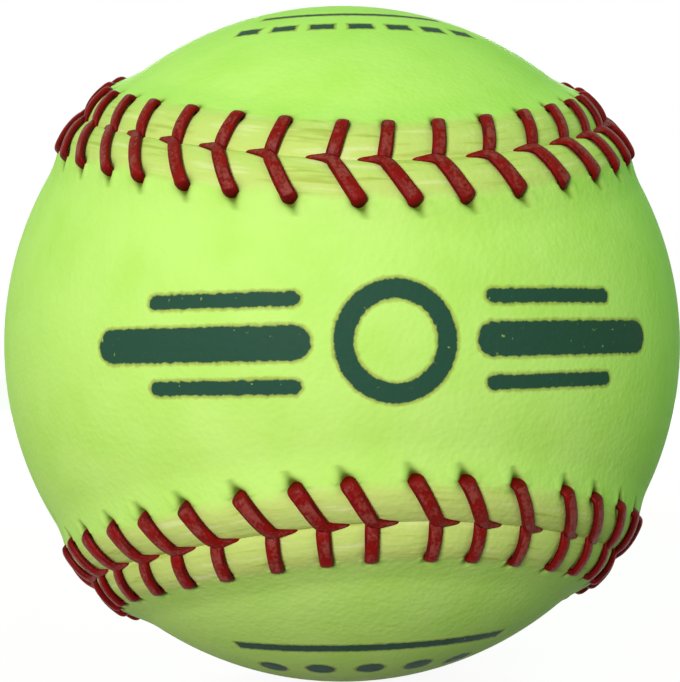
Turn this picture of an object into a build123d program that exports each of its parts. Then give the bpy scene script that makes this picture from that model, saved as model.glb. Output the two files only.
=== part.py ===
from build123d import *
import math
import os

# The ball and its layers, from the outside in.
ball_circumference = 279.4  # around the leather, clear of the raised seam
cover_thickness = 1.4
cement_thickness = 0.4  # film that glues each panel down
latex_thickness = 0.3  # dipped skin over the finished winding
fine_winding_thickness = 5.0
coarse_winding_thickness = 9.0

# The seam's line on the ball: a closed curve with four equal bends.
seam_swing = 0.506  # how far the bends swing sideways
seam_rise = 0.921  # how far they climb round the ball
seam_squareness = -0.098  # flattens the long sides of each panel

# The raised edges of the two panels.
seam_gap = 0.5  # between the two cut edges
lip_height = 1.1  # crest of the raised leather above the ball
lip_crest = 2.6  # from the middle of the seam to the crest
lip_edge_height = 0.7  # height of the edge, rolled down into the seam
lip_reach = 8.0  # from the middle of the seam to where the leather lies flat
lip_root = 0.3  # depth to which the raised form runs on below the flat leather
cement_setback = 0.5  # the glue film stops this far outside the raised edge

# The stitches.
stitch_count = 80  # an even number, so that each thread ends where it began
stitch_shift = 0.5  # of all the stitches, along the seam
stitch_lean = 1.85  # how far each row of holes slides along the seam, to and fro with the bends
hole_diameter = 1.7
front_hole_offset = 5.0  # from the middle of the seam to the row of holes
back_hole_offset = 4.5
front_hole_lag = 2.9  # the hole lies this far behind its stitch's point
back_hole_lag = 0.6
front_dive_lag = -0.9  # where each thread goes down between the edges
back_dive_lag = 0.6

# The flat waxed thread.
thread_width = 1.75  # of the arms that show
thread_thickness = 0.8
thread_flat_share = 0.55  # how much of its width is flat
thread_crest_share = 0.45  # where an arm passes the crest, from the seam to the hole
thread_width_in_gap = 1.1
thread_clearance = 0.25  # under the arms, from the leather
run_clearance = 0.1  # under the hidden runs, from the latex
hole_clearance = 0.1  # from the side of a hole
gap_clearance = 0.075  # from each cut edge in the seam

# How finely the seam is followed.
ring_pieces = 4  # lofts in half of the seam
ring_sections = 8  # steps in each loft
seam_steps = 2880  # steps that measure the seam's length

ball_radius = ball_circumference / (2 * math.pi)
inner_face_radius = ball_radius - cover_thickness
latex_radius = inner_face_radius - cement_thickness
fine_winding_radius = latex_radius - latex_thickness
coarse_winding_radius = fine_winding_radius - fine_winding_thickness
core_radius = coarse_winding_radius - coarse_winding_thickness

FRONT = -1
BACK = 1
hole_offset = {FRONT: front_hole_offset, BACK: back_hole_offset}
hole_lag = {FRONT: front_hole_lag, BACK: back_hole_lag}
dive_lag = {FRONT: front_dive_lag, BACK: back_dive_lag}


def seam_direction(turn):
    """Direction from the ball's centre to the seam, at a turn from 0 to 2 pi."""
    x = math.cos(turn) + seam_swing * math.cos(3 * turn)
    y = math.sin(turn) - seam_swing * math.sin(3 * turn)
    z = seam_rise * math.sin(2 * turn) + seam_squareness * math.sin(6 * turn)
    return Vector(y - x, -z * math.sqrt(2), x + y).normalized()


def seam_axes(turn, across):
    """Outward, along and sideways directions at a distance across the seam, towards the back panel."""
    step = math.pi / seam_steps
    on_seam = seam_direction(turn)
    along = (seam_direction(turn + step) - seam_direction(turn - step)).normalized()
    towards_back = on_seam.cross(along)
    angle = across / ball_radius
    outward = on_seam * math.cos(angle) + towards_back * math.sin(angle)
    return outward, along, outward.cross(along)


def seam_point(turn, across, height):
    """Point at a height above the plain ball."""
    return seam_axes(turn, across)[0] * (ball_radius + height)


def seam_lengths():
    """Distance along the seam at equal steps of the turn."""
    turns = [2 * math.pi * k / seam_steps for k in range(seam_steps + 1)]
    places = [seam_direction(turn) * ball_radius for turn in turns]
    lengths = [0.0]
    for before, after in zip(places, places[1:]):
        lengths.append(lengths[-1] + (after - before).length)
    return lengths


length_table = seam_lengths()
seam_length = length_table[-1]
stitch_pitch = seam_length / stitch_count


def turn_at(along):
    """Turn at a distance along the seam."""
    laps, rest = divmod(along, seam_length)
    low, high = 0, seam_steps
    while high - low > 1:
        middle = (low + high) // 2
        if length_table[middle] <= rest:
            low = middle
        else:
            high = middle
    share = (rest - length_table[low]) / (length_table[high] - length_table[low])
    return 2 * math.pi * (laps + (low + share) / seam_steps)


def lip_profile(across):
    """Height of the leather above the plain ball beside the seam."""
    away = abs(across)
    if away < lip_crest:
        return lip_edge_height + (lip_height - lip_edge_height) * math.sin(math.pi / 2 * away / lip_crest)
    swell = lip_height + lip_root
    return swell * (1 + math.cos(lip_phase(away))) / 2 - lip_root


def lip_phase(away):
    """Angle of the falling side's cosine, which passes the plain ball at the lip's reach."""
    phase_at_reach = math.acos(2 * lip_root / (lip_height + lip_root) - 1)
    return phase_at_reach * (away - lip_crest) / (lip_reach - lip_crest)


lip_foot = lip_crest + (lip_reach - lip_crest) * math.pi / lip_phase(lip_reach)


def ring(section):
    """Closed ring along the whole seam, in lofts through one section at a time."""
    span = math.pi / ring_pieces
    solids = []
    for piece in range(ring_pieces):
        turns = [span * (piece + step / ring_sections) for step in range(ring_sections + 1)]
        loft_piece = Solid.make_loft([section(turn) for turn in turns])
        solids += [loft_piece, loft_piece.rotate(Axis.Y, 180)]
    return solids


def raised_section(turn, sunk):
    """Section of the raised leather's upper form, sunk by a depth."""
    steps_in = [lip_crest * share for share in (0, 0.5)]
    steps_out = [lip_crest + (lip_foot - lip_crest) * share for share in (0, 0.25, 0.5, 0.75, 1)]
    one_side = steps_in + steps_out
    across = [-away for away in reversed(one_side[1:])] + one_side
    crown = Edge.make_spline([seam_point(turn, a, lip_profile(a) - sunk) for a in across])
    floor = Edge.make_three_point_arc(
        seam_point(turn, lip_foot, -lip_root - sunk),
        seam_point(turn, 0, -lip_root - sunk),
        seam_point(turn, -lip_foot, -lip_root - sunk),
    )
    return Wire([crown, floor])


def slot_section(turn, half_width):
    """Section of a cut that follows the seam, straight through the cover."""
    low = -cover_thickness - cement_thickness - lip_root
    high = lip_height + lip_root
    corners = [(-half_width, low), (half_width, low), (half_width, high), (-half_width, high)]
    return Wire.make_polygon([seam_point(turn, across, height) for across, height in corners])


def seam_slot(half_width):
    """Tool that parts the front from the back along the seam."""
    return ring(lambda turn: slot_section(turn, half_width))


def front_and_back(parted):
    """The two pieces of a parted hollow ball."""
    return sorted(parted.solids(), key=lambda piece: piece.center().Y)


def layer(outer_radius, inner_radius):
    """Hollow ball."""
    return Sphere(outer_radius).cut(Sphere(inner_radius))


def stitch_along(stitch):
    """Place of a stitch's point along the seam."""
    return stitch * stitch_pitch + stitch_shift


def hole_along(stitch, side):
    """Place of a stitch's hole along the seam; the two rows slide opposite ways."""
    lean = stitch_lean * math.cos(4 * math.pi * stitch / stitch_count)
    return stitch_along(stitch) + hole_lag[side] - side * lean


def stitch_holes(side):
    """Awl holes through one panel, square to the leather."""
    depth = cover_thickness + 2 * lip_height
    holes = []
    for stitch in range(stitch_count):
        turn = turn_at(hole_along(stitch, side))
        across = side * hole_offset[side]
        outward = seam_axes(turn, across)[0]
        start = seam_point(turn, across, lip_profile(across) - cover_thickness - lip_height)
        holes.append(Solid.make_cylinder(hole_diameter / 2, depth, Plane(start, z_dir=outward)))
    return holes


def cover_panels():
    """The two leather panels, with their raised edges and stitch holes."""
    upper_form = Sphere(ball_radius).fuse(*ring(lambda turn: raised_section(turn, 0)))
    lower_form = Sphere(inner_face_radius).fuse(*ring(lambda turn: raised_section(turn, cover_thickness)))
    front, back = front_and_back(upper_form.cut(lower_form).cut(*seam_slot(seam_gap / 2)))
    return front.cut(*stitch_holes(FRONT)), back.cut(*stitch_holes(BACK))


def lacing_stations(first_side):
    """Corners of one thread's path: (along, across, height, width, thickness)."""
    run_height = -cover_thickness - cement_thickness + run_clearance + thread_thickness / 2
    hole_width = hole_diameter - 2 * hole_clearance
    gap_height = lip_edge_height + 2 * thread_clearance
    gap_thickness = seam_gap - 2 * gap_clearance
    stations = []
    side = first_side
    for stitch in range(stitch_count, 0, -1):
        hole = (hole_along(stitch, side), side * hole_offset[side])
        dive = (stitch_along(stitch) + dive_lag[side], 0)
        crest = [end + (start - end) * thread_crest_share for start, end in zip(hole, dive)]
        next_hole = (hole_along(stitch - 1, -side), -side * hole_offset[-side])
        halfway = [(start + end) / 2 for start, end in zip(dive, next_hole)]
        above_hole = lip_profile(hole[1]) + thread_clearance + thread_thickness / 2
        above_crest = lip_profile(crest[1]) + thread_clearance + thread_thickness / 2
        stations += [
            (*hole, run_height, hole_width, thread_thickness),
            (*hole, above_hole, hole_width, thread_thickness),
            (*crest, above_crest, thread_width, thread_thickness),
            (*dive, gap_height, thread_width_in_gap, gap_thickness),
            (*dive, run_height, thread_width_in_gap, gap_thickness),
            (*halfway, run_height, (thread_width_in_gap + hole_width) / 2, (gap_thickness + thread_thickness) / 2),
        ]
        side = -side
    return stations


def thread_section(before, here, after):
    """Corners of the flat six-sided section, mitred between the two runs that meet here."""
    along, across, height, width, thickness = here
    outward, seamward, sideways = seam_axes(turn_at(along), across)
    normals = []
    for start, end in ((before, here), (here, after)):
        run = Vector(end[1] - start[1], end[2] - start[2])
        if run.length > 0:
            normals.append(Vector(-run.Y, run.X).normalized())
    first, last = normals[0], normals[-1]
    mitre = (first + last) / (1 + first.dot(last))
    centre = outward * (ball_radius + height)
    half_width = seamward * (width / 2)
    half_thickness = (sideways * mitre.X + outward * mitre.Y) * (thickness / 2)
    edge = thread_flat_share
    corners = [(-1, 0), (-edge, 1), (edge, 1), (1, 0), (edge, -1), (-edge, -1)]
    return [centre + half_width * a + half_thickness * b for a, b in corners]


def lacing_thread(first_side):
    """One of the two threads that lace the panels together, through every second hole of each row."""
    stations = lacing_stations(first_side)
    befores = stations[:1] + stations[:-1]
    afters = stations[1:] + stations[-1:]
    sections = [thread_section(*three) for three in zip(befores, stations, afters)]
    faces = [Face(Wire.make_polygon(sections[0])), Face(Wire.make_polygon(sections[-1]))]
    for near, far in zip(sections, sections[1:]):
        near_edges = [Edge.make_line(a, b) for a, b in zip(near, near[1:] + near[:1])]
        far_edges = [Edge.make_line(a, b) for a, b in zip(far, far[1:] + far[:1])]
        faces += [Face.make_surface_from_curves(*pair) for pair in zip(near_edges, far_edges)]
    return Solid(Shell(faces))


front_cover, back_cover = cover_panels()
glue_film = layer(inner_face_radius, latex_radius)
front_cement, back_cement = front_and_back(glue_film.cut(*seam_slot(lip_reach + cement_setback)))

nodes = {
    "core": Sphere(core_radius),
    "coarse_winding": layer(coarse_winding_radius, core_radius),
    "fine_winding": layer(fine_winding_radius, coarse_winding_radius),
    "latex_skin": layer(latex_radius, fine_winding_radius),
    "front_cement": front_cement,
    "back_cement": back_cement,
    "front_cover": front_cover,
    "back_cover": back_cover,
    "front_first_thread": lacing_thread(FRONT),
    "back_first_thread": lacing_thread(BACK),
}

os.makedirs("parts", exist_ok=True)
for name, solid in nodes.items():
    export_step(solid, f"parts/{name}.step")
print(f"seam {seam_length:.1f} mm, stitches every {stitch_pitch:.2f} mm, core {2 * core_radius:.1f} mm")
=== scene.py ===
import math

import bpy
import numpy as np
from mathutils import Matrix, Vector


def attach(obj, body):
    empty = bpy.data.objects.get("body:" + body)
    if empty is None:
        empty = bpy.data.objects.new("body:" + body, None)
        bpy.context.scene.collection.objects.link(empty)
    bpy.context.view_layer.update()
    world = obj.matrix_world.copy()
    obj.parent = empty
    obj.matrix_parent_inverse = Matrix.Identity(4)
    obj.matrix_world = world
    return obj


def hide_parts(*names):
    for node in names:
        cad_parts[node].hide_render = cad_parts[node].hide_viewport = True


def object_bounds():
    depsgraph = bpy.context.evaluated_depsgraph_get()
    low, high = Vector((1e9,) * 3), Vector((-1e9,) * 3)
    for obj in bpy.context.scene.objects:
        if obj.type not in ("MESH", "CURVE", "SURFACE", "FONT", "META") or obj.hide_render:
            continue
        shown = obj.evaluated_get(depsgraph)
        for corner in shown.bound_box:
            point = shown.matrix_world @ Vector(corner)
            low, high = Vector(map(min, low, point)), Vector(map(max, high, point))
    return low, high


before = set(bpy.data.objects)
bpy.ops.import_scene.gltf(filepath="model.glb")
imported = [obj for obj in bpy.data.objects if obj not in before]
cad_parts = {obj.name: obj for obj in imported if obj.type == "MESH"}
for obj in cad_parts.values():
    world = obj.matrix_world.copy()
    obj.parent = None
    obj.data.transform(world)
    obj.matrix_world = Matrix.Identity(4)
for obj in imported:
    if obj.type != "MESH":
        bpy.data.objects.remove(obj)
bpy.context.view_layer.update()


# Core
# The round centre of the ball, ground cork bound with rubber and moulded under heat.
# It goes into the winding machine first, and every other layer is built on it.
cork_tone = (0.42, 0.26, 0.13, 1)
cork_dark_tone = (0.16, 0.085, 0.04, 1)
rubber_tone = (0.03, 0.028, 0.026, 1)
cork_grain = 0.0016  # across one crumb, in metres like all sizes in a finish
crumb_relief = (0.5, 0.0003)  # strength and depth, as for every relief
cork_roughness = 0.85


def new_finish(name):
    """Material with a plain shader to build on."""
    finish = bpy.data.materials.new(name)
    finish.use_nodes = True
    return finish, finish.node_tree.nodes["Principled BSDF"]


def set_inputs(finish, node, inputs):
    """Each input of a node set to a value, or wired to a socket."""
    for name, value in inputs.items():
        if isinstance(value, bpy.types.NodeSocket):
            finish.node_tree.links.new(value, node.inputs[name])
        else:
            node.inputs[name].default_value = value


def add_node(finish, kind, inputs=None, **settings):
    """Node with its settings and inputs."""
    node = finish.node_tree.nodes.new(kind)
    for name, value in settings.items():
        setattr(node, name, value)
    set_inputs(finish, node, inputs or {})
    return node


def object_place(finish):
    """Places on the ball, in metres."""
    return add_node(finish, "ShaderNodeTexCoord").outputs["Object"]


def noise(finish, place, per_metre, detail):
    """Share from 0 to 1 that wanders over the surface."""
    inputs = {"Vector": place, "Scale": per_metre, "Detail": detail}
    return add_node(finish, "ShaderNodeTexNoise", inputs).outputs["Fac"]


def ramp(finish, factor, stops):
    """Colours that follow one another as the factor rises."""
    node = add_node(finish, "ShaderNodeValToRGB", {"Fac": factor})
    elements = node.color_ramp.elements
    while len(elements) < len(stops):
        elements.new(0.5)
    for element, (share, tone) in zip(elements, stops):
        element.position = share
        element.color = tone
    return node.outputs["Color"]


def bump(finish, height, strength, distance):
    """Relief on the surface, in metres."""
    inputs = {"Height": height, "Strength": strength, "Distance": distance}
    return add_node(finish, "ShaderNodeBump", inputs).outputs["Normal"]


cork, shader = new_finish("pressed_cork")
crumb_inputs = {"Vector": object_place(cork), "Scale": 1 / cork_grain}
crumbs = add_node(cork, "ShaderNodeTexVoronoi", crumb_inputs).outputs
crumb_share = add_node(cork, "ShaderNodeSeparateColor", {"Color": crumbs["Color"]}).outputs["Red"]
crumb_stops = [(0.0, rubber_tone), (0.3, rubber_tone), (0.42, cork_dark_tone), (1.0, cork_tone)]
set_inputs(cork, shader, {
    "Base Color": ramp(cork, crumb_share, crumb_stops),
    "Normal": bump(cork, crumbs["Distance"], *crumb_relief),
    "Roughness": cork_roughness,
})
bpy.data.objects["core"].material_slots[0].material = cork


# Windings
# Two layers of yarn wound round the core under tension, turn over turn at ever new angles.
# The coarse grey yarn gives the ball its bulk, and the fine white yarn makes it round and smooth.
coarse_yarn_width = 0.0016
fine_yarn_width = 0.0006
grey_yarn_tone = (0.36, 0.35, 0.33, 1)
grey_shadow_tone = (0.10, 0.10, 0.095, 1)
white_yarn_tone = (0.78, 0.76, 0.70, 1)
white_shadow_tone = (0.36, 0.34, 0.29, 1)
yarn_roughness = 0.9
yarn_waver = 0.6
yarn_relief = 0.7
yarn_ways = ((0.2, 0.5, 0.3), (1.3, 0.2, 1.1), (0.7, 1.4, 2.2))  # how the turns of each lay are turned
lays_per_metre = 90.0
wave_width = 0.314  # of one ridge of the wave pattern at a scale of 1
NONE = (0, 0, 0, 1)
ALL = (1, 1, 1, 1)


def mixed(finish, factor, first, second):
    """One colour blended into another."""
    node = add_node(finish, "ShaderNodeMix", data_type="RGBA")
    set_inputs(finish, node, {0: factor, 6: first, 7: second})
    return node.outputs[2]


def wound_yarn(name, width, light_tone, shadow_tone):
    """Turns of yarn that cross one another in patches."""
    finish, shader = new_finish(name)
    place = object_place(finish)
    lays = []
    for way in yarn_ways:
        laid = add_node(finish, "ShaderNodeMapping", {"Vector": place, "Rotation": way}).outputs["Vector"]
        wave_inputs = {"Vector": laid, "Scale": wave_width / width, "Distortion": yarn_waver}
        lays.append(add_node(finish, "ShaderNodeTexWave", wave_inputs).outputs["Color"])
    patches = noise(finish, place, lays_per_metre, 0.0)
    first_patch = ramp(finish, patches, [(0.44, NONE), (0.46, ALL)])
    second_patch = ramp(finish, patches, [(0.56, NONE), (0.58, ALL)])
    turns = mixed(finish, second_patch, mixed(finish, first_patch, lays[0], lays[1]), lays[2])
    set_inputs(finish, shader, {
        "Base Color": ramp(finish, turns, [(0.1, shadow_tone), (0.7, light_tone)]),
        "Normal": bump(finish, turns, yarn_relief, width / 2),
        "Roughness": yarn_roughness,
    })
    return finish


coarse_yarn = wound_yarn("coarse_grey_yarn", coarse_yarn_width, grey_yarn_tone, grey_shadow_tone)
fine_yarn = wound_yarn("fine_white_yarn", fine_yarn_width, white_yarn_tone, white_shadow_tone)
bpy.data.objects["coarse_winding"].material_slots[0].material = coarse_yarn
bpy.data.objects["fine_winding"].material_slots[0].material = fine_yarn


# Latex skin and cement
# The wound ball is dipped in latex, which dries to a thin dull skin over the yarn.
# A film of contact cement under each panel then holds the leather down, short of its stitched edge.
latex_tone = (0.66, 0.58, 0.38, 1)
latex_thick_tone = (0.50, 0.40, 0.22, 1)
latex_roughness = 0.6
cement_tone = (0.62, 0.42, 0.16, 1)
cement_thick_tone = (0.36, 0.20, 0.06, 1)
cement_roughness = 0.45
film_runs_per_metre = 160.0
film_relief = (0.4, 0.0003)


def dried_film(name, thin_tone, thick_tone, roughness):
    """Brushed film with runs and thicker spots."""
    finish, shader = new_finish(name)
    runs = noise(finish, object_place(finish), film_runs_per_metre, 4.0)
    set_inputs(finish, shader, {
        "Base Color": ramp(finish, runs, [(0.35, thin_tone), (0.68, thick_tone)]),
        "Normal": bump(finish, runs, *film_relief),
        "Roughness": roughness,
    })
    return finish


latex = dried_film("dried_latex", latex_tone, latex_thick_tone, latex_roughness)
cement = dried_film("dried_cement", cement_tone, cement_thick_tone, cement_roughness)
bpy.data.objects["latex_skin"].material_slots[0].material = latex
for glued in ("front_cement", "back_cement"):
    bpy.data.objects[glued].material_slots[0].material = cement


# Cover panels
# Two figure-of-eight panels of optic yellow leather, glued to the ball edge to edge.
# The lacing pulls their edges up into a raised seam, and the leather puckers round every stitch hole.
mm = 0.001  # the sizes of the leather and the lacing are in millimetres
ball_radius = 279.4 / (2 * math.pi)
leather_thickness = 1.3
seam_swing = 0.506
seam_rise = 0.921
seam_squareness = -0.098
seam_points = 5761
seam_nudge = 0.0005  # turn between two points that give the seam's direction
seam_gap = 0.02
lip_height = 1.1
lip_crest = 2.6
lip_edge_height = 0.7
lip_reach = 9.4  # from the middle of the seam to where the leather lies flat
edge_roll = 0.8  # width of the cut edge that turns down into the seam
edge_drop = 0.2
stitch_count = 80
FRONT = -1
BACK = 1
hole_lag = {FRONT: 2.9, BACK: 0.6}  # behind the stitch's point, along the seam
hole_offset = {FRONT: 5.05, BACK: 4.5}  # from the middle of the seam
arm_line = {  # where an arm lies: away from the seam, and behind the stitch's point
    FRONT: ([0.0, 0.2, 0.5, 1.2, 2.3, 5.05], [-1.2, -0.2, 0.4, 0.85, 1.45, 2.9]),
    BACK: ([0.0, 1.2, 2.5, 4.5], [0.45, 0.5, 0.55, 0.6]),
}
dimple_radius = 0.7  # the leather drawn in at a hole
dimple_depth = 0.7
slit_half_width = 0.42  # the crease that runs on beyond it
slit_depth = 0.3
slit_lean = {FRONT: 0.4, BACK: 0.1}  # how far a slit leans along the seam
slit_length = {FRONT: 2.0, BACK: 1.1}
fold_aside = 1.0  # the folds on both sides of a slit
fold_half_width = 0.45
fold_height = 0.14
# painted shade that darkens the leather in each hole and down its slit
hole_shade_radius = 0.9
hole_shade_share = 1.1
slit_shade_share = 0.95
groove_depth = 0.26  # where an arm presses into the leather
groove_half_width = 0.95
groove_fade = 0.8
swell_height = 0.16  # where the leather rises between two arms
swell_half_gap = 1.5
swell_middle = 3.0
swell_reach = 1.9
stitch_lean = 1.85  # how far each row of holes slides along the seam, to and fro with the bends
first_seen_above = 5  # the stitches that face the camera, and how far each has slipped along the seam
slips_above = [-1.0, -0.95, -1.1, -1.1, -0.35, -0.8, -0.8, -0.6, -0.2, -0.15, -0.2]
leans_above = [0.0, 0.8, 1.3, 1.25, 1.1, 0.8, 0.7, 0.9, 0.7, 0.4, 0.1]  # and its back hole further on
first_seen_below = 45
slips_below = [1.2, 0.7, 1.55, 1.7, 0.95, 1.9, 1.15, 0.8, 1.6, 1.35, 1.05]
mean_drift = 0.23  # slip of the other stitches, to and fro once round the seam
drift_start = 10
stitch_wobble = 0.15  # small differences from stitch to stitch
hole_wobble = 0.12
loose_hand = np.random.default_rng(11)

stitches = np.arange(stitch_count)
seen_above = slice(first_seen_above, first_seen_above + len(slips_above))
seen_below = slice(first_seen_below, first_seen_below + len(slips_below))
drift = mean_drift - np.cos(2 * np.pi * (stitches - drift_start) / stitch_count)
stitch_slip = drift + loose_hand.normal(0, stitch_wobble, stitch_count)
stitch_slip[seen_above] = slips_above
stitch_slip[seen_below] = slips_below
row_lean = stitch_lean * np.cos(4 * np.pi * stitches / stitch_count)
hole_slip = {
    side: -side * row_lean + loose_hand.normal(0, hole_wobble, stitch_count) for side in (FRONT, BACK)
}
hole_slip[BACK][seen_above] += leans_above


def seam_directions(turn):
    """Directions from the ball's centre to the seam."""
    x = np.cos(turn) + seam_swing * np.cos(3 * turn)
    y = np.sin(turn) - seam_swing * np.sin(3 * turn)
    z = seam_rise * np.sin(2 * turn) + seam_squareness * np.sin(6 * turn)
    way = np.stack([y - x, -z * math.sqrt(2), x + y], axis=-1)
    return way / np.linalg.norm(way, axis=-1, keepdims=True)


seam_turns = np.linspace(0, 2 * np.pi, seam_points)
seam_line = seam_directions(seam_turns)
seam_along = seam_directions(seam_turns + seam_nudge) - seam_directions(seam_turns - seam_nudge)
seam_along /= np.linalg.norm(seam_along, axis=-1, keepdims=True)
seam_across = np.cross(seam_line, seam_along)
seam_steps = np.linalg.norm(np.diff(seam_line, axis=0), axis=1) * ball_radius
seam_lengths = np.concatenate([[0], np.cumsum(seam_steps)])
seam_length = seam_lengths[-1]
stitch_pitch = seam_length / stitch_count


def along_seam(values, along):
    """A direction of the seam, read at distances along it."""
    rest = np.mod(along, seam_length)
    return np.stack([np.interp(rest, seam_lengths, values[:, axis]) for axis in range(3)], axis=-1)


def laid_on_ball(along, across, height):
    """Points given by their distance along and across the seam and their height above the ball."""
    angle = (across / ball_radius)[:, None]
    outward = along_seam(seam_line, along) * np.cos(angle) + along_seam(seam_across, along) * np.sin(angle)
    return outward / np.linalg.norm(outward, axis=1, keepdims=True) * (ball_radius + height)[:, None]


def seam_place(points):
    """Distance along and across the seam of points near the ball."""
    outward = points / np.linalg.norm(points, axis=1, keepdims=True)
    step = 4  # the nearest of every fourth point of the seam is a good start
    batch_size = 4000
    coarse_seam = seam_line[:-1:step].astype(np.float32).T
    batches = np.array_split(outward, len(outward) // batch_size + 1)
    nearest = np.concatenate([np.argmax(batch.astype(np.float32) @ coarse_seam, axis=1) for batch in batches])
    along = seam_lengths[nearest * step]
    for _ in range(2):
        ahead = np.sum(outward * along_seam(seam_along, along), axis=1)
        along = along + ball_radius * ahead
    across = np.arcsin(np.clip(np.sum(outward * along_seam(seam_across, along), axis=1), -1, 1))
    return np.mod(along, seam_length), across * ball_radius


def lip_profile(away):
    """Height of the raised leather beside the seam."""
    risen = np.sin(np.pi / 2 * np.clip(away / lip_crest, 0, 1))
    rise = lip_edge_height + (lip_height - lip_edge_height) * risen
    fallen = np.clip((away - lip_crest) / (lip_reach - lip_crest), 0, 1)
    return np.where(away < lip_crest, rise, lip_height * (1 + np.cos(np.pi * fallen)) / 2)


def from_nearest(along, away, lag, side):
    """Distance along the seam from the nearest arm or hole that lies this far behind its stitch's point."""
    share = np.clip(away / hole_offset[side], 0, 1)
    number = np.round((along - lag) / stitch_pitch).astype(int) % stitch_count
    for _ in range(3):
        lies_at = lag + stitch_slip[number] + hole_slip[side][number] * share
        number = np.round((along - lies_at) / stitch_pitch).astype(int) % stitch_count
    lies_at = lag + stitch_slip[number] + hole_slip[side][number] * share + number * stitch_pitch
    return np.mod(along - lies_at + seam_length / 2, seam_length) - seam_length / 2


def from_hole(along, away, side):
    """Distance from the nearest hole: along the seam, and beyond the row of holes."""
    offset = from_nearest(along, np.maximum(away, hole_offset[side]), hole_lag[side], side)
    return offset, away - hole_offset[side]


def pucker(along, away, side):
    """Depth of the dimple and slit at the nearest stitch hole, and how much painted shade it gets."""
    offset, beyond = from_hole(along, away, side)
    from_middle = offset ** 2 + beyond ** 2
    dimple = np.exp(-from_middle / dimple_radius ** 2)
    aside = (offset - slit_lean[side] * beyond) / math.hypot(1, slit_lean[side])
    fade = np.clip(1 - beyond / slit_length[side], 0, 1) * (beyond > 0)
    slit = np.exp(-(aside / slit_half_width) ** 2) * np.sqrt(fade)
    fold = np.exp(-((np.abs(aside) - fold_aside) / fold_half_width) ** 2) * fade
    depth = dimple_depth * dimple + slit_depth * slit - fold_height * fold
    dark = hole_shade_share * np.exp(-from_middle / hole_shade_radius ** 2) + slit_shade_share * slit
    return depth, np.clip(dark, 0, 1)


def leather_height(along, away, side):
    """Height of the leather above the plain ball, with all that the lacing does to it."""
    rolled = edge_drop * np.clip(1 - (away - seam_gap / 2) / edge_roll, 0, 1) ** 2
    offset = from_nearest(along, away, np.interp(away, *arm_line[side]), side)
    before_hole = np.clip((hole_offset[side] - away) / groove_fade, 0, 1)
    under_arm = before_hole * np.clip(away / groove_fade, 0, 1)
    groove = groove_depth * np.exp(-(offset / groove_half_width) ** 2) * under_arm
    between_arms = 1 - np.exp(-(offset / swell_half_gap) ** 2)
    swell = swell_height * between_arms * np.exp(-((away - swell_middle) / swell_reach) ** 2)
    return lip_profile(away) - rolled - groove + swell - pucker(along, away, side)[0]


def vertices(piece):
    """Vertices of a piece, as rows."""
    rows = np.empty(len(piece.data.vertices) * 3)
    piece.data.vertices.foreach_get("co", rows)
    return rows.reshape(-1, 3)


def face_rows(piece, kind):
    """Middles or normals of a piece's faces, as rows."""
    rows = np.empty(len(piece.data.polygons) * 3)
    piece.data.polygons.foreach_get(kind, rows)
    return rows.reshape(-1, 3)


def edge_ends(piece):
    """The two vertices of each edge, as rows."""
    ends = np.empty(len(piece.data.edges) * 2, dtype=int)
    piece.data.edges.foreach_get("vertices", ends)
    return ends.reshape(-1, 2)


def select_only(piece, kind, chosen):
    """These faces or vertices of a piece and no others, in edit mode."""
    bpy.ops.object.mode_set(mode="EDIT")
    bpy.ops.mesh.select_mode(type=kind)
    bpy.ops.mesh.select_all(action="DESELECT")
    bpy.ops.object.mode_set(mode="OBJECT")
    elements = piece.data.polygons if kind == "FACE" else piece.data.vertices
    elements.foreach_set("select", np.asarray(chosen).tolist())
    bpy.ops.object.mode_set(mode="EDIT")


ball_divisions = 7
spare_leather = 1.5  # left beyond the seam until the panel is trimmed
finer_reaches = ((9.0, 0), (1.4, 2.1))  # each round of finer faces, from the seam and from the holes
finer_beyond = 0.4  # at a hole they reach further on the side of the slit
finer_stretch = 0.8
inner_facing = -30  # a face's normal times its place is less than this on the inner side alone
inner_share = 0.1  # of the inner faces that are kept
crease_angle = 65  # degrees, past which an edge stays sharp


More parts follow.
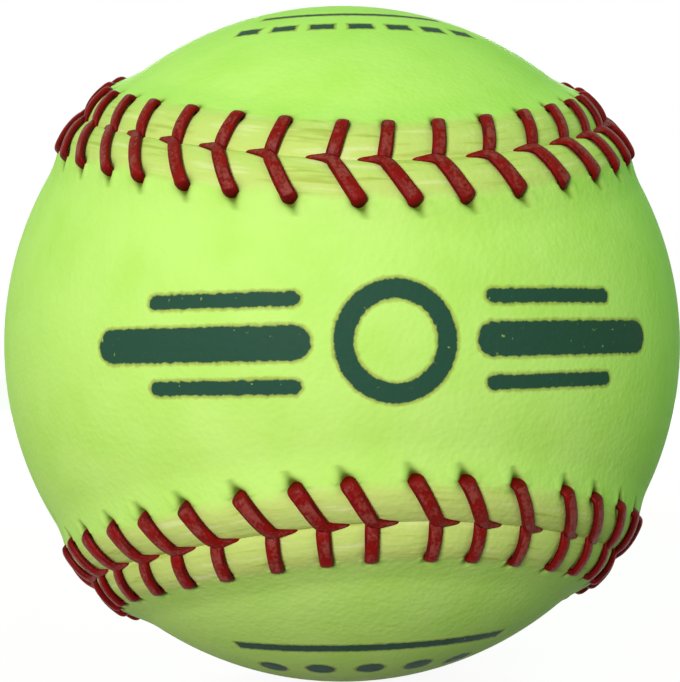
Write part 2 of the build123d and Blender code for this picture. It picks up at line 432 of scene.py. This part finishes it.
def cover_panel(name, side):
    """One panel, from a ball of leather that is trimmed to the seam and then shaped."""
    bpy.ops.object.select_all(action="DESELECT")
    bpy.ops.mesh.primitive_ico_sphere_add(subdivisions=ball_divisions, radius=ball_radius * mm)
    panel = bpy.context.active_object
    panel.name = name
    panel.data.name = name
    across = seam_place(face_rows(panel, "center") / mm)[1]
    select_only(panel, "FACE", across * side < -spare_leather)
    bpy.ops.mesh.delete(type="FACE")
    bpy.ops.object.mode_set(mode="OBJECT")

    # Finer faces towards the seam, and finest at its edge and at the holes
    for seam_reach, hole_reach in finer_reaches:
        along, across = seam_place(face_rows(panel, "center") / mm)
        offset, beyond = from_hole(along, across * side, side)
        near_hole = np.hypot(offset, (beyond - finer_beyond) * finer_stretch) < hole_reach
        select_only(panel, "FACE", (np.abs(across) < seam_reach) | near_hole)
        bpy.ops.mesh.subdivide(number_cuts=1, ngon=False)
        bpy.ops.object.mode_set(mode="OBJECT")

    # Trim to the cut edge, with the nearest vertices drawn onto it
    along, across = seam_place(vertices(panel) / mm)
    inside = across * side - seam_gap / 2
    edges = edge_ends(panel)
    crossing = edges[np.prod(inside[edges], axis=1) < 0]
    nearer = np.argmin(np.abs(inside[crossing]), axis=1)
    inside[np.unique(crossing[np.arange(len(crossing)), nearer])] = 0
    points = laid_on_ball(along, (inside + seam_gap / 2) * side, np.zeros(len(along)))
    panel.data.vertices.foreach_set("co", (points * mm).ravel())
    corners = [inside[list(face.vertices)] for face in panel.data.polygons]
    select_only(panel, "FACE", [corner.min() < 0 or corner.max() == 0 for corner in corners])
    bpy.ops.mesh.delete(type="FACE")
    bpy.ops.object.mode_set(mode="OBJECT")

    # Raise the edge, roll it into the seam and pucker it at the holes
    along, across = seam_place(vertices(panel) / mm)
    away = np.abs(across)
    points = laid_on_ball(along, across, leather_height(along, away, side))
    panel.data.vertices.foreach_set("co", (points * mm).ravel())
    turn = 2 * np.pi * along / seam_length
    ring = seam_length / (2 * np.pi)
    beside = np.stack([ring * np.cos(turn), ring * np.sin(turn), away], axis=-1)
    follows_seam = panel.data.attributes.new("seam_place", "FLOAT_VECTOR", "POINT")
    follows_seam.data.foreach_set("vector", beside.ravel())
    # the painted shade at the holes, kept for the leather's colour
    at_holes = panel.data.attributes.new("hole_shade", "FLOAT", "POINT")
    at_holes.data.foreach_set("value", pucker(along, away, side)[1])

    # Give the leather its thickness, with fewer faces inside and no spurs left on the rim
    wall = panel.modifiers.new("thickness", "SOLIDIFY")
    wall.thickness = leather_thickness * mm
    wall.offset = -1
    bpy.ops.object.modifier_apply(modifier="thickness")
    facing = np.sum(face_rows(panel, "normal") * face_rows(panel, "center") / mm, axis=1)
    select_only(panel, "FACE", facing < inner_facing)
    bpy.ops.mesh.decimate(ratio=inner_share)
    bpy.ops.object.mode_set(mode="OBJECT")
    select_only(panel, "VERT", np.bincount(edge_ends(panel).ravel()) == 2)
    bpy.ops.mesh.dissolve_verts()
    bpy.ops.object.mode_set(mode="OBJECT")
    bpy.ops.object.shade_smooth_by_angle(angle=math.radians(crease_angle))
    return panel


def paint(red, green, blue):
    """Colour from its values out of 255 on a screen."""
    shares = [value / 255 for value in (red, green, blue)]
    return (*[s / 12.92 if s <= 0.04045 else ((s + 0.055) / 1.055) ** 2.4 for s in shares], 1)


leather_tone = paint(203, 241, 125)
leather_deep_tone = paint(194, 236, 111)
seam_band_tone = paint(206, 218, 122)
streak_dark_tone = paint(168, 178, 66)
# pale streaks along the seam, which also stand in for painted glints
pale_streak_and_glint_tone = paint(228, 232, 164)
# painted shade in the stitch holes and slits
painted_hole_shade_tone = paint(104, 128, 40)
ink_tone = paint(6, 66, 64)
ink_rim_tone = paint(150, 132, 52)


def worked(finish, operation, *values):
    """Result of a sum on sockets and numbers."""
    node = add_node(finish, "ShaderNodeMath", operation=operation)
    set_inputs(finish, node, dict(enumerate(values)))
    return node.outputs["Value"]


def eased(finish, value, low, high):
    """Share from 0 at one value to 1 at another."""
    inputs = {"Value": value, "From Min": low, "From Max": high}
    return add_node(finish, "ShaderNodeMapRange", inputs, interpolation_type="SMOOTHSTEP").outputs["Result"]


def apart(finish, value, other):
    """Distance between two values."""
    return worked(finish, "ABSOLUTE", worked(finish, "SUBTRACT", value, other))


def long_side(finish, first, second):
    """Long side of a right-angled triangle."""
    squares = [worked(finish, "MULTIPLY", side, side) for side in (first, second)]
    return worked(finish, "SQRT", worked(finish, "ADD", *squares))


stamp_ring = (5.6, 1.1)  # radius and half width
stamp_bar_start = 11.0
stamp_bars = ((27.0, 4.7, 0.8), (33.0, 0.0, 1.9), (27.0, -4.7, 0.8))  # end, row and half width
upper_line = (19.5, 0.45, 0.62)  # distance from the pole, half width, and turn to either end
upper_dashes = (24.5, 0.8, 0.7)
dash_pitch = 0.2
dash_share = 0.62
lower_arc = (28.0, 0.8, 0.66)
lower_dots = (21.0, 1.8, 0.76)
dot_pitch = 0.3


def bar(finish, level, rise, start, end, row, half_width):
    """Distance from a round-ended bar."""
    past = worked(finish, "SUBTRACT", apart(finish, level, (start + end) / 2), (end - start) / 2)
    past = worked(finish, "MAXIMUM", past, 0.0)
    reach = long_side(finish, past, worked(finish, "SUBTRACT", rise, row))
    return worked(finish, "SUBTRACT", reach, half_width)


def turned_aside(finish, x, y):
    """Turn round the upright axis from the middle of the front."""
    return worked(finish, "ARCTAN2", x, worked(finish, "MULTIPLY", y, -1.0))


def waist_stamp(finish, x, y, z):
    """Plain stamp across the front panel's waist: a ring with three bars on each side."""
    level = worked(finish, "MULTIPLY", turned_aside(finish, x, y), ball_radius)
    rise = worked(finish, "MULTIPLY", worked(finish, "ARCSINE", z), ball_radius)
    ring_radius, ring_half_width = stamp_ring
    off_ring = apart(finish, long_side(finish, level, rise), ring_radius)
    gap = worked(finish, "SUBTRACT", off_ring, ring_half_width)
    out = worked(finish, "ABSOLUTE", level)
    for end, row, half_width in stamp_bars:
        off_bar = bar(finish, out, rise, stamp_bar_start, end, row, half_width)
        gap = worked(finish, "MINIMUM", gap, off_bar)
    return gap


def past_end(finish, turn, radius, reach):
    """Distance past either end of an arc round the pole."""
    past = worked(finish, "SUBTRACT", worked(finish, "ABSOLUTE", turn), reach)
    return worked(finish, "MULTIPLY", past, radius)


def arc(finish, turn, out, radius, half_width, reach):
    """Distance from an arc round the pole."""
    beside = worked(finish, "SUBTRACT", apart(finish, out, radius), half_width)
    return worked(finish, "MAXIMUM", beside, past_end(finish, turn, radius, reach))


def lobe_stamp(finish, x, y, z):
    """Plain stamps on the back panel's two lobes: a line and dashes above, dots and an arc below."""
    out = worked(finish, "MULTIPLY", worked(finish, "ARCCOSINE", worked(finish, "ABSOLUTE", z)), ball_radius)
    turn = turned_aside(finish, x, y)

    in_dash = worked(finish, "WRAP", turn, dash_pitch / 2, -dash_pitch / 2)
    past_dash = past_end(finish, in_dash, upper_dashes[0], dash_share * dash_pitch / 2)
    dashes = worked(finish, "MAXIMUM", past_dash, arc(finish, turn, out, *upper_dashes))
    above = worked(finish, "MINIMUM", dashes, arc(finish, turn, out, *upper_line))

    radius, dot_radius, reach = lower_dots
    in_dot = worked(finish, "WRAP", turn, dot_pitch / 2, -dot_pitch / 2)
    in_dot = worked(finish, "MULTIPLY", in_dot, radius)
    from_dot = long_side(finish, in_dot, worked(finish, "SUBTRACT", out, radius))
    dots = worked(finish, "SUBTRACT", from_dot, dot_radius)
    dots = worked(finish, "MAXIMUM", dots, past_end(finish, turn, radius, reach))
    below = worked(finish, "MINIMUM", dots, arc(finish, turn, out, *lower_arc))

    is_above = worked(finish, "GREATER_THAN", z, 0.0)
    lower = worked(finish, "MULTIPLY", below, worked(finish, "SUBTRACT", 1.0, is_above))
    return worked(finish, "ADD", worked(finish, "MULTIPLY", above, is_above), lower)


blotches_per_metre = 130.0
blotch_edges = (0.35, 0.75)  # where the deeper tone starts and where it is full, as for all such edges
frays_per_metre = 420.0
fray_reach = 1.6
band_edges = (6.1, 4.6)
band_share = 0.85
streak_scale = (0.11, 0.11, 1.3)  # long along the seam, and narrow across it
dark_streak_edges = (0.55, 0.72)
dark_streak_share = 0.6
# pale streaks along the seam, which also give painted glints
pale_streak_and_glint_edges = (0.44, 0.30)
pale_streak_and_glint_share = 0.7
ink_specks_per_metre = 1500.0
ink_bleed = 0.5
ink_rim_edges = (0.5, 0.1)
ink_rim_share = 0.55
ink_edges = (0.12, -0.12)
ink_worn_edges = (0.80, 0.68)
ink_share = 0.94
pebbles_per_metre = 1500.0
pebble_share = 0.5
creases_per_metre = 700.0
ridge_share = 1.2
grain_relief = (0.35, 0.0002)
leather_roughness = (0.42, 0.62)
leather_specular = 0.03


def leather_finish(name, stamp):
    """Optic yellow leather: grained, pale from rubbing along the seam, with painted glints in its pale
    streaks, painted shade in the puckers, and an ink stamp.
    """
    finish, shader = new_finish(name)
    place = object_place(finish)
    beside = add_node(finish, "ShaderNodeAttribute", attribute_name="seam_place").outputs["Vector"]
    hole_shade = add_node(finish, "ShaderNodeAttribute", attribute_name="hole_shade").outputs["Fac"]
    away = add_node(finish, "ShaderNodeSeparateXYZ", {"Vector": beside}).outputs["Z"]

    # Colour of the hide, a little uneven
    blotch = eased(finish, noise(finish, place, blotches_per_metre, 4.0), *blotch_edges)
    tone = mixed(finish, blotch, leather_tone, leather_deep_tone)

    # Band between the rows of holes, pale from rubbing, with dark streaks along the seam and pale ones that
    # also give painted glints, and painted shade at the holes
    fray = worked(finish, "MULTIPLY", noise(finish, place, frays_per_metre, 3.0), fray_reach)
    band = eased(finish, worked(finish, "ADD", away, fray), *band_edges)
    tone = mixed(finish, worked(finish, "MULTIPLY", band, band_share), tone, seam_band_tone)
    stretched = add_node(finish, "ShaderNodeMapping", {"Vector": beside, "Scale": streak_scale})
    streaks = noise(finish, stretched.outputs["Vector"], 1.0, 3.0)
    for edges, share, streak_tone in (
        (dark_streak_edges, dark_streak_share, streak_dark_tone),
        (pale_streak_and_glint_edges, pale_streak_and_glint_share, pale_streak_and_glint_tone),
    ):
        streak = worked(finish, "MULTIPLY", eased(finish, streaks, *edges), band)
        tone = mixed(finish, worked(finish, "MULTIPLY", streak, share), tone, streak_tone)
    tone = mixed(finish, hole_shade, tone, painted_hole_shade_tone)

    # Stamp in dark ink that has bled a little and worn in specks
    outward = add_node(finish, "ShaderNodeVectorMath", {0: place}, operation="NORMALIZE").outputs["Vector"]
    axes = add_node(finish, "ShaderNodeSeparateXYZ", {"Vector": outward}).outputs
    bleed = worked(finish, "SUBTRACT", noise(finish, place, ink_specks_per_metre, 2.0), 0.5)
    bleed = worked(finish, "MULTIPLY", bleed, ink_bleed)
    gap = worked(finish, "ADD", stamp(finish, axes["X"], axes["Y"], axes["Z"]), bleed)
    rim = worked(finish, "MULTIPLY", eased(finish, gap, *ink_rim_edges), ink_rim_share)
    tone = mixed(finish, rim, tone, ink_rim_tone)
    kept = eased(finish, noise(finish, place, ink_specks_per_metre, 4.0), *ink_worn_edges)
    inked = worked(finish, "MULTIPLY", eased(finish, gap, *ink_edges), kept)
    tone = mixed(finish, worked(finish, "MULTIPLY", inked, ink_share), tone, ink_tone)

    # Grain of the hide and its dull sheen
    pebble_inputs = {"Vector": place, "Scale": pebbles_per_metre}
    pebbles = add_node(finish, "ShaderNodeTexVoronoi", pebble_inputs).outputs["Distance"]
    creases = noise(finish, place, creases_per_metre, 5.0)
    ridges = worked(finish, "MULTIPLY", worked(finish, "MULTIPLY", streaks, band), ridge_share)
    grain = worked(finish, "ADD", worked(finish, "MULTIPLY", pebbles, pebble_share), creases)
    grain = worked(finish, "ADD", grain, ridges)
    smoothest, roughest = leather_roughness
    sheen_inputs = {"Value": creases, "To Min": smoothest, "To Max": roughest}
    set_inputs(finish, shader, {
        "Base Color": tone,
        "Normal": bump(finish, grain, *grain_relief),
        "Roughness": add_node(finish, "ShaderNodeMapRange", sheen_inputs).outputs["Result"],
        "Specular IOR Level": leather_specular,
    })
    return finish


for name, node, side, stamp in (
    ("front_leather", "front_cover", FRONT, waist_stamp),
    ("back_leather", "back_cover", BACK, lobe_stamp),
):
    panel = cover_panel(name, side)
    panel.data.materials.append(leather_finish(name + "_hide", stamp))
    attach(panel, "root")
    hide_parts(node)


# Lacing
# Two waxed red threads, each through every second hole of either row, drawn flat over the raised edges.
# An arm comes up out of its hole, lies on the leather and goes down between the edges, on to the next hole.
thread_width = 1.68
thread_thickness = 0.8
thread_fullness = 1.45  # how much flatter the section is than an oval
thread_rounding = 3  # faces between two points of the section or the path
cap_weld = 0.001
arm_path = {  # behind the stitch's point, away from the seam, height over the leather, share of the width
    FRONT: [
        (3.00, 5.25, -1.75, 0.9), (2.97, 5.18, -0.70, 0.95), (2.93, 5.10, 0.26, 1.0), (2.80, 4.85, 0.41, 1.0),
        (2.35, 4.05, 0.35, 1.0), (1.83, 3.00, 0.33, 1.0), (1.32, 1.95, 0.33, 1.0), (0.88, 1.10, 0.35, 1.0),
        (0.48, 0.42, 0.33, 0.92), (-0.20, 0.14, 0.20, 0.68), (-1.05, 0.04, 0.05, 0.46),
        (-1.95, 0.0, -0.05, 0.28), (-2.55, -0.05, -0.3, 0.14), (-3.30, -0.5, -1.5, 0.4),
        (-3.9, -2.4, -1.75, 0.8), (-5.42, -4.5, -1.75, 0.8),
    ],
    BACK: [
        (0.64, 4.68, -1.75, 0.9), (0.63, 4.61, -0.70, 0.95), (0.62, 4.53, 0.26, 1.0), (0.61, 4.28, 0.41, 1.0),
        (0.59, 3.45, 0.35, 1.0), (0.56, 2.35, 0.33, 1.0), (0.53, 1.30, 0.31, 1.0), (0.50, 0.45, 0.22, 1.0),
        (0.46, -0.25, -0.15, 0.9), (0.30, -0.7, -1.0, 0.7), (-0.2, -1.6, -1.75, 0.7),
        (-1.2, -3.0, -1.75, 0.8), (-3.12, -5.05, -1.75, 0.8),
    ],
}


def flat_arm(side):
    """One arm of a stitch with the run under the leather that follows it, laid out flat, in millimetres."""
    bpy.ops.object.select_all(action="DESELECT")
    bpy.ops.curve.primitive_bezier_circle_add(radius=1)
    section = bpy.context.active_object
    section.data.resolution_u = thread_rounding
    for corner in section.data.splines[0].bezier_points:
        corner.handle_left_type = "FREE"
        corner.handle_right_type = "FREE"
        for handle in (corner.handle_left, corner.handle_right):
            handle.xy = corner.co.xy + (handle.xy - corner.co.xy) * thread_fullness
        for handle in (corner.handle_left, corner.handle_right, corner.co):
            handle.x *= thread_width / 2
            handle.y *= thread_thickness / 2
    bpy.ops.object.select_all(action="DESELECT")
    bpy.ops.curve.primitive_nurbs_path_add()
    arm = bpy.context.active_object
    line = arm.data
    spline = line.splines[0]
    spline.points.add(len(arm_path[side]) - len(spline.points))
    for point, (along, away, height, share) in zip(spline.points, arm_path[side]):
        point.co = (along, away, height, 1)
        point.radius = share
    spline.order_u = 3
    spline.use_endpoint_u = True
    spline.resolution_u = thread_rounding
    line.twist_mode = "Z_UP"
    line.bevel_mode = "OBJECT"
    line.bevel_object = section
    line.use_fill_caps = True
    bpy.ops.object.convert(target="MESH")
    bpy.data.objects.remove(section)
    bpy.ops.object.mode_set(mode="EDIT")
    bpy.ops.mesh.select_all(action="SELECT")
    bpy.ops.mesh.remove_doubles(threshold=cap_weld)
    bpy.ops.mesh.normals_make_consistent(inside=False)
    bpy.ops.object.mode_set(mode="OBJECT")
    facing = np.empty(len(arm.data.vertices) * 3)
    arm.data.vertices.foreach_get("normal", facing)
    # how far the surface faces up, which places the painted highlight on the crown and the painted shade on
    # the flanks
    crown = arm.data.attributes.new("crown", "FLOAT", "POINT")
    crown.data.foreach_set("value", np.clip(facing[2::3], 0, 1))
    return arm


def laced(name, first_side):
    """A whole thread, stitch by stitch round the seam."""
    arms = []
    for stitch in range(stitch_count):
        side = first_side if stitch % 2 == 0 else -first_side
        bpy.ops.object.select_all(action="DESELECT")
        flat_arms[side].select_set(True)
        bpy.context.view_layer.objects.active = flat_arms[side]
        bpy.ops.object.duplicate()
        arm = bpy.context.active_object
        rows = vertices(arm)
        away = rows[:, 1]
        along = rows[:, 0] + stitch * stitch_pitch + stitch_slip[stitch]
        along += hole_slip[side][stitch] * np.clip(away / hole_offset[side], 0, 1)
        next_slip = stitch_slip[stitch - 1] - stitch_slip[stitch] + hole_slip[-side][stitch - 1]
        along += next_slip * np.clip(-away / hole_offset[-side], 0, 1)
        points = laid_on_ball(along, away * side, lip_profile(np.abs(away)) + rows[:, 2])
        arm.data.vertices.foreach_set("co", (points * mm).ravel())
        arms.append(arm)
    bpy.ops.object.select_all(action="DESELECT")
    for arm in arms:
        arm.select_set(True)
    bpy.context.view_layer.objects.active = arms[0]
    bpy.ops.object.join()
    thread = bpy.context.active_object
    thread.name = name
    thread.data.name = name
    bpy.ops.object.mode_set(mode="EDIT")
    bpy.ops.mesh.select_all(action="SELECT")
    bpy.ops.mesh.normals_make_consistent(inside=False)
    bpy.ops.object.mode_set(mode="OBJECT")
    bpy.ops.object.shade_smooth()
    return thread


thread_tone = paint(134, 12, 10)
# deeper dye in patches, and painted shade on the flanks
thread_deep_dye_and_shade_tone = paint(92, 3, 3)
# painted highlight along the crown of each arm
painted_highlight_tone = paint(174, 80, 72)
dye_patches_per_metre = 500.0
dye_edges = (0.35, 0.7)
painted_flank_shade_edges = (0.75, 0.2)
painted_flank_shade_share = 0.7
fibres_per_metre = 2600.0
fibre_relief = (0.5, 0.0002)
fibre_share = 0.6
crown_edges = (0.8, 1.0)
painted_highlight_edges = (0.68, 1.0)
painted_highlight_share = 0.6
thread_roughness = 0.45
thread_specular = 0.09

# Red dye, deeper in patches, with painted shade on the flanks and a painted highlight along the crown, where
# the arm faces up
waxed_thread, shader = new_finish("waxed_red_thread")
place = object_place(waxed_thread)
crown = add_node(waxed_thread, "ShaderNodeAttribute", attribute_name="crown").outputs["Fac"]
uneven = noise(waxed_thread, place, dye_patches_per_metre, 3.0)
fibre = noise(waxed_thread, place, fibres_per_metre, 2.0)
tone = mixed(waxed_thread, eased(waxed_thread, uneven, *dye_edges), thread_tone, thread_deep_dye_and_shade_tone)
painted_flank_shade = worked(waxed_thread, "MULTIPLY", eased(waxed_thread, crown, *painted_flank_shade_edges), painted_flank_shade_share)
tone = mixed(waxed_thread, painted_flank_shade, tone, thread_deep_dye_and_shade_tone)
patchy = worked(waxed_thread, "ADD", uneven, worked(waxed_thread, "MULTIPLY", fibre, fibre_share))
facing_up = eased(waxed_thread, crown, *crown_edges)
painted_highlight = worked(waxed_thread, "MULTIPLY", eased(waxed_thread, patchy, *painted_highlight_edges), facing_up)
tone = mixed(waxed_thread, worked(waxed_thread, "MULTIPLY", painted_highlight, painted_highlight_share), tone, painted_highlight_tone)
set_inputs(waxed_thread, shader, {
    "Base Color": tone,
    "Normal": bump(waxed_thread, fibre, *fibre_relief),
    "Roughness": thread_roughness,
    "Specular IOR Level": thread_specular,
})

flat_arms = {FRONT: flat_arm(FRONT), BACK: flat_arm(BACK)}
for name, node, side in (
    ("front_first_lacing", "front_first_thread", FRONT),
    ("back_first_lacing", "back_first_thread", BACK),
):
    thread = laced(name, side)
    thread.data.materials.append(waxed_thread)
    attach(thread, "root")
    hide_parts(node)
for arm in flat_arms.values():
    bpy.data.objects.remove(arm)


# Floor, light and camera
# A plain white studio: a wide soft lamp low in front on the left, another behind, and green light all round,
# because the shaded leather in the photograph is much greener than the lit leather.
# The camera stands level with the ball's middle, a little to its left, as in the photograph.
floor_size = 6
floor_tone = (0.14, 0.14, 0.14, 1)
floor_roughness = 0.8
floor_glow = 0.92
room_tone = (0.30, 1.0, 0.19, 1)
room_strength = 0.48
white = (1, 1, 1, 1)
lamp_places = {"front_lamp": (-0.376, -0.885, 0.16), "rear_lamp": (0.14, 0.97, 0.23)}
lamp_width = 0.5
lamp_height = 0.3
lamp_power = 8.75
lamp_tone = (0.975, 0.84, 0.98)


def seen_as_white(finish):
    """Share that is 1 where the studio is looked at, and 0 where it lights the ball."""
    rays = add_node(finish, "ShaderNodeLightPath").outputs
    seen = worked(finish, "MAXIMUM", rays["Is Camera Ray"], rays["Is Glossy Ray"])
    return worked(finish, "MAXIMUM", seen, rays["Is Transmission Ray"])


visual_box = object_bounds()
bpy.ops.object.select_all(action="DESELECT")
bpy.ops.mesh.primitive_plane_add(size=floor_size, location=(0, 0, visual_box[0][2]))
floor = bpy.context.active_object
floor.name = "floor"
floor_finish, shader = new_finish("white_floor")
set_inputs(floor_finish, shader, {
    "Base Color": floor_tone,
    "Roughness": floor_roughness,
    "Specular IOR Level": 0.0,
    "Emission Color": white,
    "Emission Strength": worked(floor_finish, "MULTIPLY", seen_as_white(floor_finish), floor_glow),
})
floor.data.materials.append(floor_finish)

world = bpy.data.worlds.new("pale_room")
bpy.context.scene.world = world
world.use_nodes = True
room = world.node_tree.nodes["Background"]
set_inputs(world, room, {"Color": room_tone, "Strength": room_strength})
backdrop = add_node(world, "ShaderNodeBackground", {"Color": white, "Strength": 1.0})
either_inputs = {0: seen_as_white(world), 1: room.outputs[0], 2: backdrop.outputs[0]}
either = add_node(world, "ShaderNodeMixShader", either_inputs)
set_inputs(world, world.node_tree.nodes["World Output"], {"Surface": either.outputs[0]})

for name, lamp_place in lamp_places.items():
    bpy.ops.object.light_add(type="AREA", location=lamp_place)
    lamp = bpy.context.active_object
    lamp.name = name
    lamp.data.shape = "RECTANGLE"
    lamp.data.size = lamp_width
    lamp.data.size_y = lamp_height
    lamp.data.energy = lamp_power
    lamp.data.color = lamp_tone
    towards_ball = -lamp.location
    lamp.rotation_euler = towards_ball.to_track_quat("-Z", "Y").to_euler()

camera_distance = 4.642 * ball_radius * mm
camera_turn = 0.1292
camera_pitch = -0.006
camera_roll = -0.0205
focal_pixels = 1532.0
photo_width = 680
sensor_width = 36
ball_in_frame = (2.0, 2.6)  # pixels right of and below the middle of the frame
cy, sy = math.cos(camera_turn), math.sin(camera_turn)
cp, sp = math.cos(camera_pitch), math.sin(camera_pitch)
cr, sr = math.cos(camera_roll), math.sin(camera_roll)
turned = np.array([[cy, -sy, 0], [sy, cy, 0], [0, 0, 1]])
pitched = np.array([[1, 0, 0], [0, cp, -sp], [0, sp, cp]])
rolled = np.array([[cr, 0, sr], [0, 1, 0], [-sr, 0, cr]])
right, ahead, up = rolled @ pitched @ turned
pixel = camera_distance / focal_pixels  # its width at the ball, in metres
camera_place = -ahead * camera_distance - right * ball_in_frame[0] * pixel + up * ball_in_frame[1] * pixel
bpy.ops.object.camera_add(location=camera_place)
camera = bpy.context.active_object
camera.name = "photo_camera"
camera.data.sensor_fit = "HORIZONTAL"
camera.data.sensor_width = sensor_width
camera.data.lens = focal_pixels * sensor_width / photo_width
camera.data.clip_start = 0.01
pose = np.eye(4)
pose[:3, 0] = right
pose[:3, 1] = up
pose[:3, 2] = -ahead
pose[:3, 3] = camera_place
camera.matrix_world = pose.T
bpy.context.scene.camera = camera
bpy.context.scene.view_settings.view_transform = "Standard"
